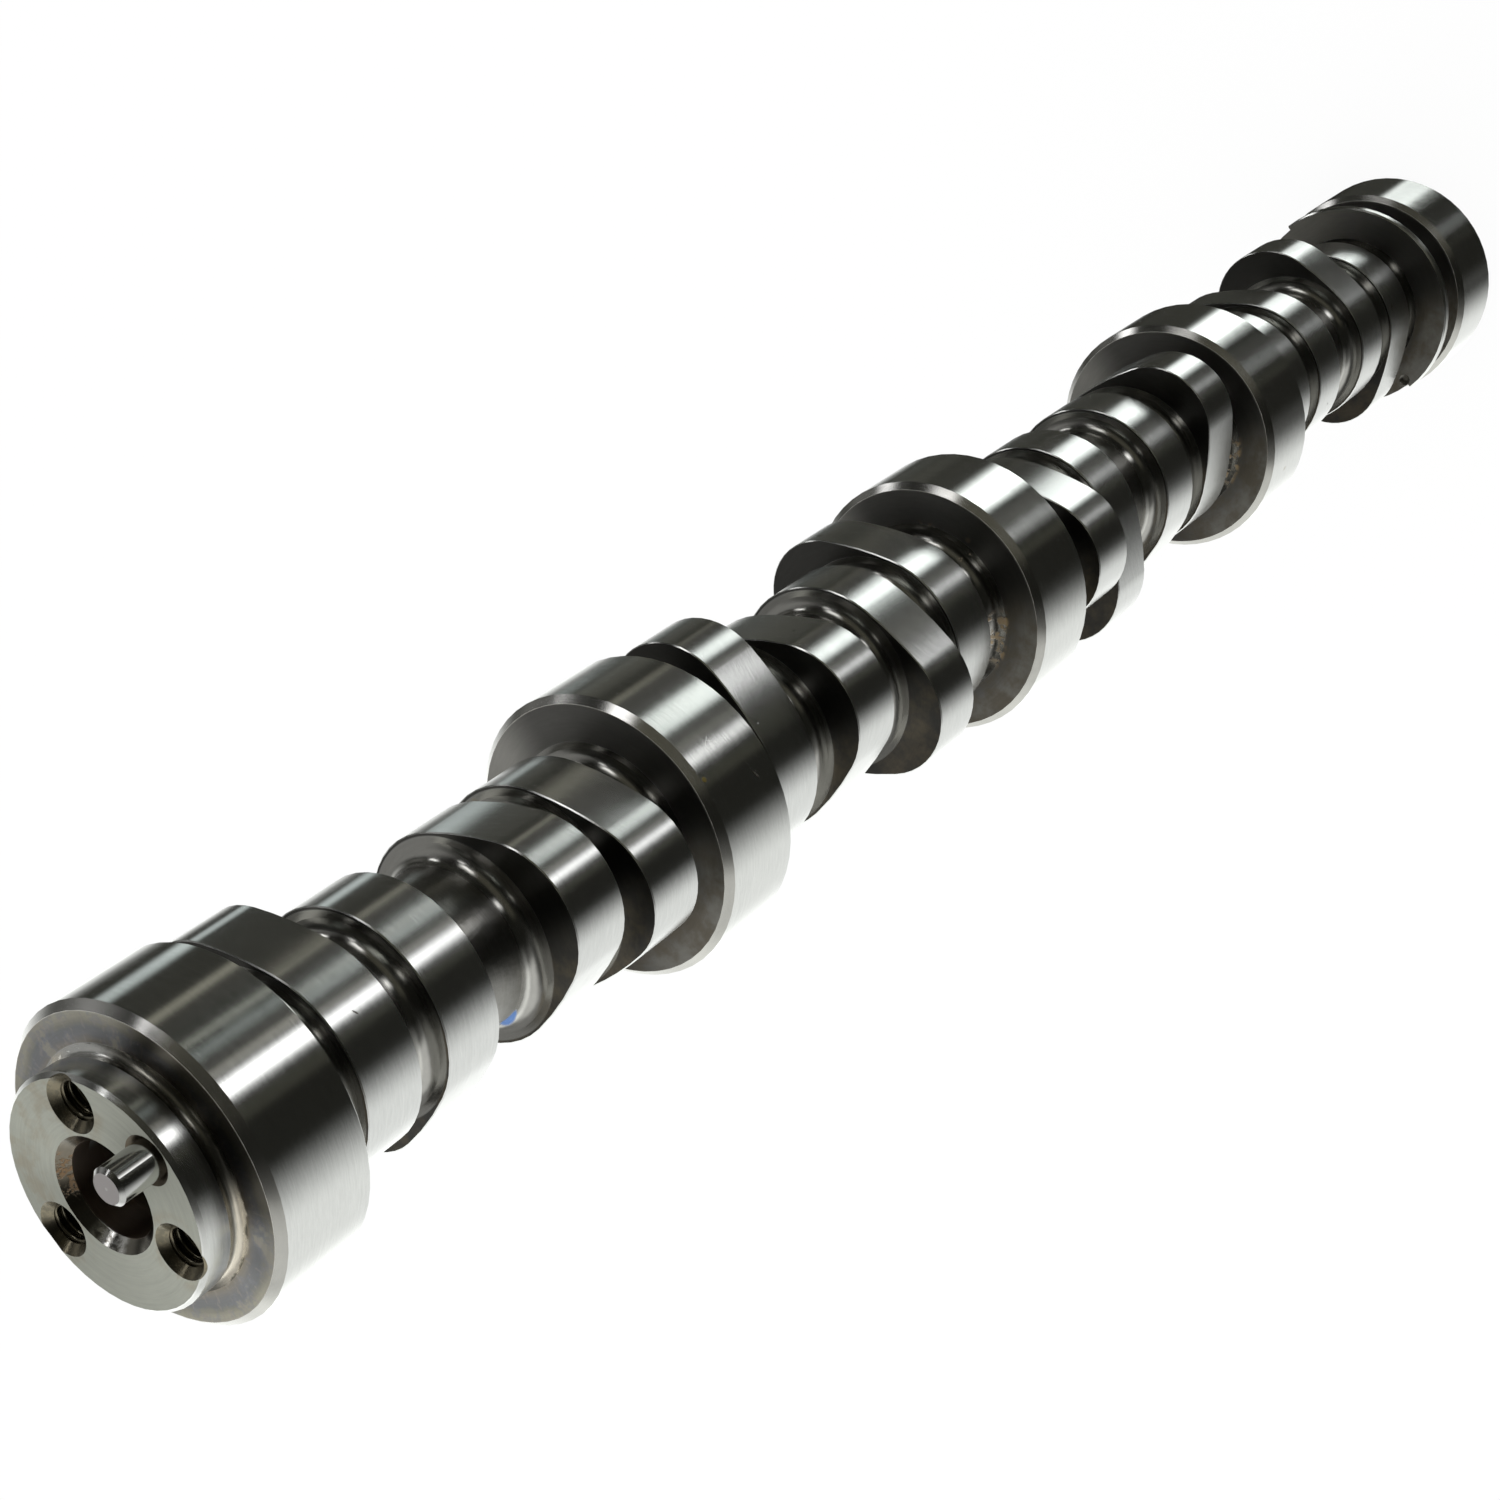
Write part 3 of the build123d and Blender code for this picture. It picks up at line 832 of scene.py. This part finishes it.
def makeThreads(plan, material):
    mesh = bpy.data.meshes.new("threadSeed")
    seed = bpy.data.objects.new("threadSeed", mesh)
    scene.collection.objects.link(seed)
    tree = bpy.data.node_groups.new("tappedThreads", "GeometryNodeTree")
    settings = {
        "Count": ("Int", plan["count"]), "Circle": ("Float", plan["circle"]),
        "Top": ("Float", plan["top"]), "Pitch": ("Float", plan["pitch"]),
        "Turns": ("Float", plan["turns"]), "Wall radius": ("Float", plan["wallRadius"]),
        "Depth": ("Float", plan["depth"]), "Material": ("Material", material),
    }
    for label, (kind, value) in settings.items():
        tree.interface.new_socket(label, in_out="INPUT", socket_type="NodeSocket" + kind)
    tree.interface.new_socket("Geometry", in_out="OUTPUT", socket_type="NodeSocketGeometry")
    given, out = addNode(tree, "NodeGroupInput").outputs, addNode(tree, "NodeGroupOutput")
    length = calc(tree, "MULTIPLY", given["Turns"], given["Pitch"])
    spiral = addNode(tree, "GeometryNodeCurveSpiral")
    for name, value in (
        ("Resolution", plan["stepsPerTurn"]), ("Rotations", given["Turns"]), ("Height", length),
        ("Start Radius", given["Wall radius"]), ("End Radius", given["Wall radius"]),
    ):
        feed(tree, value, spiral.inputs[name])
    profile = addNode(tree, "GeometryNodeCurvePrimitiveCircle")
    profile.inputs["Resolution"].default_value = plan["ridgeSides"]
    feed(tree, given["Depth"], profile.inputs["Radius"])
    ridge = addNode(tree, "GeometryNodeCurveToMesh")
    tree.links.new(spiral.outputs["Curve"], ridge.inputs["Curve"])
    tree.links.new(profile.outputs["Curve"], ridge.inputs["Profile Curve"])
    centres = addNode(tree, "GeometryNodeMeshCircle")
    feed(tree, given["Count"], centres.inputs["Vertices"])
    feed(tree, given["Circle"], centres.inputs["Radius"])
    placed = addNode(tree, "GeometryNodeTransform")
    tree.links.new(centres.outputs["Mesh"], placed.inputs["Geometry"])
    placed.inputs["Rotation"].default_value = (0.0, 0.0, math.radians(plan["firstHole"]))
    start = join(tree, z=calc(tree, "SUBTRACT", given["Top"], length))
    tree.links.new(start, placed.inputs["Translation"])
    copies = addNode(tree, "GeometryNodeInstanceOnPoints")
    tree.links.new(placed.outputs["Geometry"], copies.inputs["Points"])
    tree.links.new(ridge.outputs["Mesh"], copies.inputs["Instance"])
    real = addNode(tree, "GeometryNodeRealizeInstances")
    tree.links.new(copies.outputs["Instances"], real.inputs["Geometry"])
    painted = addNode(tree, "GeometryNodeSetMaterial")
    tree.links.new(real.outputs["Geometry"], painted.inputs["Geometry"])
    tree.links.new(given["Material"], painted.inputs["Material"])
    tree.links.new(painted.outputs["Geometry"], out.inputs["Geometry"])

    modifier = seed.modifiers.new("threads", "NODES")
    modifier.node_group = tree
    for item in tree.interface.items_tree:
        if item.in_out == "INPUT":
            modifier[item.identifier] = settings[item.name][1]
    seed.update_tag()
    graph = bpy.context.evaluated_depsgraph_get()
    finished = bpy.data.meshes.new_from_object(seed.evaluated_get(graph), depsgraph=graph)
    bpy.data.objects.remove(seed)
    threads = bpy.data.objects.new("bolt_threads", finished)
    scene.collection.objects.link(threads)
    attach(threads, "root")


makeThreads(threadPlan, shaftSteel)
print("threads made")


pinSet = {
    "side": (0.46, 0.46, 0.45),
    "end": (0.74, 0.70, 0.70),
    "endMark": (0.90, 0.88, 0.87),
    "endMarkRadius": (0.2, 0.35),  # millimetres between which the mark fades out
    "roughness": 0.16,
    "endRoughness": 0.40,
    "lines": (7.0, 0.3),  # how many in a millimetre, and how fast they change along their run
    "lineDepth": 0.000002,  # metres
    "cloudSize": 2.0,  # millimetres
    "cloudLevels": (0.4, 0.7),
    "cloudSeed": 21.0,
    "cloudRoughness": 0.04,
}


def makePinSteel(settings):
    material, tree, output = newMaterial("pinSteel")
    places = useGroup(tree, shaftPlaces).outputs
    fine, stretch = settings["lines"]
    lines = useGroup(tree, toolLines, line=places["Height"], fine=fine, stretch=stretch)
    bump = addNode(tree, "ShaderNodeBump")
    bump.inputs["Distance"].default_value = settings["lineDepth"]
    tree.links.new(lines.outputs["Lines"], bump.inputs["Height"])
    dot = inverse(tree, rise(tree, places["Pin distance"], *settings["endMarkRadius"]))
    color = blendColor(tree, places["Up"], settings["side"], settings["end"])
    color = blendColor(tree, both(tree, dot, places["Up"]), color, settings["endMark"])
    low, high = settings["cloudLevels"]
    cloudy = useGroup(
        tree, blotches, size=settings["cloudSize"], low=low, high=high, seed=settings["cloudSeed"],
    ).outputs["Mask"]
    roughness = blendValue(tree, places["Up"], settings["roughness"], settings["endRoughness"])
    roughness = calc(tree, "MULTIPLY_ADD", cloudy, settings["cloudRoughness"], roughness)
    shader = addNode(tree, "ShaderNodeBsdfPrincipled")
    shader.inputs["Metallic"].default_value = 1.0
    for name, value in (
        ("Base Color", color), ("Roughness", roughness), ("Normal", bump.outputs["Normal"]),
    ):
        tree.links.new(value, shader.inputs[name])
    tree.links.new(shader.outputs["BSDF"], output.inputs["Surface"])
    return material


pinNode.material_slots[0].material = makePinSteel(pinSet)
print("pin steel made")


tentSet = {
    "radius": 20.0,  # metres
    "roundness": 5,  # how often the sphere's faces are divided
    "firstAzimuth": -20.0,  # degrees; azimuths run on from here for a whole turn
    "roomColor": (0.019, 0.019, 0.016),
    # the long pale wall: where it starts and ends in azimuth, how both ends draw in towards the
    # ground, its top edge, and how bright it is near its start and along the rest
    "wall": {
        "start": (132, 169), "startDrawsIn": 1.55,
        "end": (266, 317), "endDrawsIn": 1.3,
        "drawsInBelow": -46, "top": (2, 20),
        "power": 1.04, "startPower": 0.48, "startFade": (198, 234),
        "tint": (0.985, 1.0, 0.98),
    },
    # soft panels: azimuth and elevation of the middle, half width and half height, softness of
    # the sides and of the ends, lean (degrees of azimuth for each degree of elevation),
    # brightness and tint
    "panels": {
        "backRoom": (95, -50, 50, 60, 20, 20, 0.0, 0.026, (1.0, 1.0, 0.86)),
        "roomGlow": (70, -41, 11, 8, 10, 12, -0.3, 0.045, (1.0, 0.97, 0.95)),
        "frontEdge": (350, -40, 5, 20, 6, 20, 0.0, 0.035, (1.0, 1.0, 0.75)),
        "frontLamp": (6.7, -14, 4.4, 26, 5, 6, 0.0, 0.9, (1.0, 1.0, 1.0)),
        "frontLampGlow": (6.5, -14, 6.2, 26, 10, 6, 0.0, 0.95, (1.0, 1.0, 1.0)),
        "frontLampEnd": (7.9, -26, 4.2, 21, 7, 22, 0.0, 1.2, (1.0, 1.0, 1.0)),
        "frontSide": (2.5, -50, 3.5, 16, 6, 16, 0.0, 0.12, (0.97, 1.0, 0.96)),
        "frontTail": (9.6, -52, 4.4, 26, 7, 26, 0.0, 0.105, (0.95, 1.0, 0.99)),
        "frontShoulder": (19.5, -34, 2.6, 8, 3, 8, 0.0, 0.30, (1.0, 0.96, 0.86)),
        "frontGlow": (22, -44, 9, 14, 6, 14, 0.0, 0.10, (1.0, 1.0, 0.92)),
        "greyDoor": (34.5, -32, 3.5, 10, 6, 8, 0.0, 0.22, (0.90, 1.0, 0.96)),
        "greyDoorEdge": (44.5, -32, 2.5, 10, 4, 8, 0.0, 0.24, (0.97, 1.0, 0.86)),
        "highBox": (47.5, -50.5, 10.5, 7.5, 10, 5, -0.2, 1.7, (0.94, 1.0, 0.97)),
        "middleBox": (58, -54.5, 11, 3.0, 7, 5, -1.5, 1.1, (0.95, 1.0, 0.98)),
        "lowBox": (63.0, -58.5, 15.0, 6, 9, 8, -1.7, 2.1, (0.95, 1.0, 0.98)),
        "boxEdge": (81.0, -60, 3.8, 9, 8, 4, -1.5, 0.31, (0.95, 1.0, 0.97)),
        "thinBar": (74.5, -34, 3.2, 10, 5, 8, -0.9, 0.27, (1.0, 0.97, 0.78)),
        "streak": (119.0, -35.0, 6.2, 6, 9, 6, -1.25, 0.82, (0.90, 1.0, 0.99)),
        "streakTail": (122, -46, 8, 6, 11, 8, -1.3, 0.05, (0.95, 1.0, 0.95)),
        "hazeBand": (108, -46, 9, 6, 10, 6, 0.0, 0.06, (1.0, 1.0, 0.86)),
        "wallGlow": (222, -56, 12, 4, 20, 6, 0.0, 0.22, (1.0, 1.0, 1.0)),
        "wallTail": (298, -61, 6, 6, 24, 8, 0.0, 0.09, (1.0, 1.0, 0.98)),
        "highWall": (250, 20, 36, 24, 16, 18, 0.0, 0.70, (0.985, 1.0, 0.98)),
        "overhead": (200, 33, 95, 16, 40, 14, 0.0, 0.36, (1.0, 1.0, 0.98)),
        "roof": (200, 70, 100, 22, 40, 14, 0.0, 0.07, (1.0, 1.0, 0.97)),
        "upperRoom": (28, 38, 42, 16, 20, 14, 0.0, 0.09, (1.0, 0.96, 0.74)),
        "upperLamp": (84, 45, 4, 3, 4, 4, 0.0, 3.0, (1.0, 1.0, 1.0)),
        "sideLamp": (103, 8, 5, 3, 7, 5, 0.0, 4.5, (1.0, 1.0, 1.0)),
        "glintLamp": (66, 33.5, 9, 3, 9, 6, 0.0, 4.4, (1.0, 1.0, 1.0)),
        "glintTail": (63, 26, 11, 3, 10, 8, 0.0, 1.1, (1.0, 1.0, 0.98)),
        "sideGlow": (124, 4, 10, 6, 14, 10, 0.0, 0.16, (1.0, 0.99, 0.96)),
    },
}


def makeSoftPanel():
    inputs = (
        ("Azimuth", 0.0), ("Elevation", 0.0), ("Middle azimuth", 0.0), ("Middle elevation", 0.0),
        ("Half width", 10.0), ("Half height", 10.0), ("Side softness", 5.0), ("End softness", 5.0),
        ("Lean", 0.0),
    )
    tree, given, out = newGroup("softPanel", inputs, ["Mask"])
    rose = calc(tree, "SUBTRACT", given.outputs["Elevation"], given.outputs["Middle elevation"])
    middle = calc(tree, "MULTIPLY_ADD", rose, given.outputs["Lean"], given.outputs["Middle azimuth"])
    turned = calc(tree, "SUBTRACT", given.outputs["Azimuth"], middle)
    turned = calc(tree, "WRAP", turned, 180.0, -180.0)
    masks = []
    for offset, half, soft in (
        (turned, "Half width", "Side softness"), (rose, "Half height", "End softness"),
    ):
        past = calc(tree, "SUBTRACT", calc(tree, "ABSOLUTE", offset), given.outputs[half])
        past = calc(tree, "DIVIDE", past, given.outputs[soft])
        masks.append(inverse(tree, rise(tree, past, -0.5, 0.5)))
    tree.links.new(both(tree, *masks), out.inputs["Mask"])
    return tree


def makeTentMaterial(settings):
    material, tree, output = newMaterial("tentLight")
    coords = addNode(tree, "ShaderNodeTexCoord")
    parts = split(tree, calcVector(tree, "NORMALIZE", coords.outputs["Object"]))
    azimuth = bearingOf(tree, parts["X"], parts["Y"])
    firstAzimuth = settings["firstAzimuth"]
    azimuth = calc(tree, "WRAP", azimuth, firstAzimuth + 360.0, firstAzimuth)
    elevation = calc(tree, "DEGREES", calc(tree, "ARCSINE", parts["Z"]))

    wall = settings["wall"]
    below = calc(tree, "MAXIMUM", calc(tree, "SUBTRACT", wall["drawsInBelow"], elevation), 0.0)
    fromStart = calc(tree, "MULTIPLY_ADD", below, -wall["startDrawsIn"], azimuth)
    fromEnd = calc(tree, "MULTIPLY_ADD", below, wall["endDrawsIn"], azimuth)
    reach = both(
        tree,
        rise(tree, fromStart, *wall["start"]),
        inverse(tree, rise(tree, fromEnd, *wall["end"])),
        inverse(tree, rise(tree, elevation, *wall["top"])),
    )
    startGlow = inverse(tree, rise(tree, azimuth, *wall["startFade"]))
    power = calc(tree, "MULTIPLY_ADD", startGlow, wall["startPower"], wall["power"])
    power = calc(tree, "MULTIPLY", power, reach)
    glow = calcVector(tree, "MULTIPLY_ADD", wall["tint"], power, settings["roomColor"])

    group = makeSoftPanel()
    for name, (*numbers, power, tint) in settings["panels"].items():
        az, el, wide, high, sideSoft, endSoft, lean = (float(number) for number in numbers)
        panel = useGroup(
            tree, group, azimuth=azimuth, elevation=elevation, middleAzimuth=az, middleElevation=el,
            halfWidth=wide, halfHeight=high, sideSoftness=sideSoft, endSoftness=endSoft, lean=lean,
        )
        panel.label = name
        full = tuple(power * c for c in tint)
        glow = calcVector(tree, "MULTIPLY_ADD", full, panel.outputs["Mask"], glow)
    light = addNode(tree, "ShaderNodeEmission")
    tree.links.new(glow, light.inputs["Color"])
    tree.links.new(light.outputs["Emission"], output.inputs["Surface"])
    material.cycles.emission_sampling = "NONE"
    return material


def makeTent(settings):  # only reflections see it
    bpy.ops.mesh.primitive_ico_sphere_add(
        subdivisions=settings["roundness"], radius=settings["radius"],
    )
    tent = bpy.context.object
    tent.name = "light_tent"
    tent.data.materials.append(makeTentMaterial(settings))
    for kind in ("camera", "diffuse", "transmission", "volume_scatter", "shadow"):
        setattr(tent, "visible_" + kind, False)


floorSet = {
    "size": 6.0,  # metres
    "color": (0.93, 0.93, 0.93),
    "whiteShare": 0.92,  # how much of what the camera sees is plain white and not the lit floor
}


def makeFloor(settings):
    half = settings["size"] / 2
    mesh = bpy.data.meshes.new("floor")
    corners = [(-half, -half, 0), (half, -half, 0), (half, half, 0), (-half, half, 0)]
    mesh.from_pydata(corners, [], [(0, 1, 2, 3)])
    floor = bpy.data.objects.new("floor", mesh)
    scene.collection.objects.link(floor)
    material, tree, output = newMaterial("paleFloor")
    matte = addNode(tree, "ShaderNodeBsdfDiffuse")
    matte.inputs["Color"].default_value = (*settings["color"], 1.0)
    white = addNode(tree, "ShaderNodeEmission")
    seen = addNode(tree, "ShaderNodeLightPath").outputs["Is Camera Ray"]
    mix = addNode(tree, "ShaderNodeMixShader")
    tree.links.new(calc(tree, "MULTIPLY", seen, settings["whiteShare"]), mix.inputs[0])
    tree.links.new(matte.outputs[0], mix.inputs[1])
    tree.links.new(white.outputs[0], mix.inputs[2])
    tree.links.new(mix.outputs[0], output.inputs["Surface"])
    mesh.materials.append(material)
    floor.visible_glossy = False


worldSet = {
    "color": (1, 1, 1, 1),
    "lightStrength": 0.75,
    "backgroundStrength": 1.0,
}


def makeWorld(settings):
    world = bpy.data.worlds.new("studio")
    scene.world = world
    world.use_nodes = True
    tree = world.node_tree
    tree.nodes.clear()
    output = addNode(tree, "ShaderNodeOutputWorld")
    path = addNode(tree, "ShaderNodeLightPath").outputs
    seen = calc(tree, "MAXIMUM", path["Is Camera Ray"], path["Is Glossy Ray"])
    seen = calc(tree, "MAXIMUM", seen, path["Is Transmission Ray"])
    sky = addNode(tree, "ShaderNodeBackground")
    sky.inputs["Color"].default_value = settings["color"]
    strength = blendValue(tree, seen, settings["lightStrength"], settings["backgroundStrength"])
    tree.links.new(strength, sky.inputs["Strength"])
    tree.links.new(sky.outputs[0], output.inputs["Surface"])
    world.cycles.sampling_method = "NONE"


lampSet = {  # metres and watts
    "topLamp": {"place": (0.2, -0.3, 1.9), "aim": (0, 0, 0.25), "size": 1.6, "watts": 14.0},
    "sideLamp": {"place": (-1.5, -0.8, 1.1), "aim": (0, 0, 0.25), "size": 1.2, "watts": 8.0},
}


def makeLamps(lamps):
    for name, lamp in lamps.items():
        data = bpy.data.lights.new(name, "AREA")
        data.shape = "DISK"
        data.size = lamp["size"]
        data.energy = lamp["watts"]
        lampObject = bpy.data.objects.new(name, data)
        lampObject.location = lamp["place"]
        aim = Vector(lamp["aim"]) - Vector(lamp["place"])
        lampObject.rotation_euler = aim.to_track_quat("-Z", "Y").to_euler()
        lampObject.visible_glossy = False
        scene.collection.objects.link(lampObject)


cameraSet = {  # place, aim and nearest in metres, roll in degrees, lens and sensor in millimetres
    "place": (0.33983, -0.01221, 0.67733),
    "aim": (-0.00007, -0.00235, 0.32154),
    "roll": -125.80,
    "lens": 62.516,
    "sensor": 36.0,
    "nearest": 0.01,
}


def makeCamera(settings):
    data = bpy.data.cameras.new("camera")
    data.lens = settings["lens"]
    data.sensor_width = settings["sensor"]
    data.sensor_fit = "HORIZONTAL"
    data.clip_start = settings["nearest"]
    camera = bpy.data.objects.new("camera", data)
    place = Vector(settings["place"])
    look = (Vector(settings["aim"]) - place).to_track_quat("-Z", "Y").to_matrix().to_4x4()
    roll = Matrix.Rotation(math.radians(settings["roll"]), 4, "Z")
    camera.matrix_world = Matrix.Translation(place) @ look @ roll
    scene.collection.objects.link(camera)
    scene.camera = camera


makeTent(tentSet)
makeFloor(floorSet)
makeWorld(worldSet)
makeLamps(lampSet)
makeCamera(cameraSet)
scene.view_settings.view_transform = "Standard"
print("studio made")
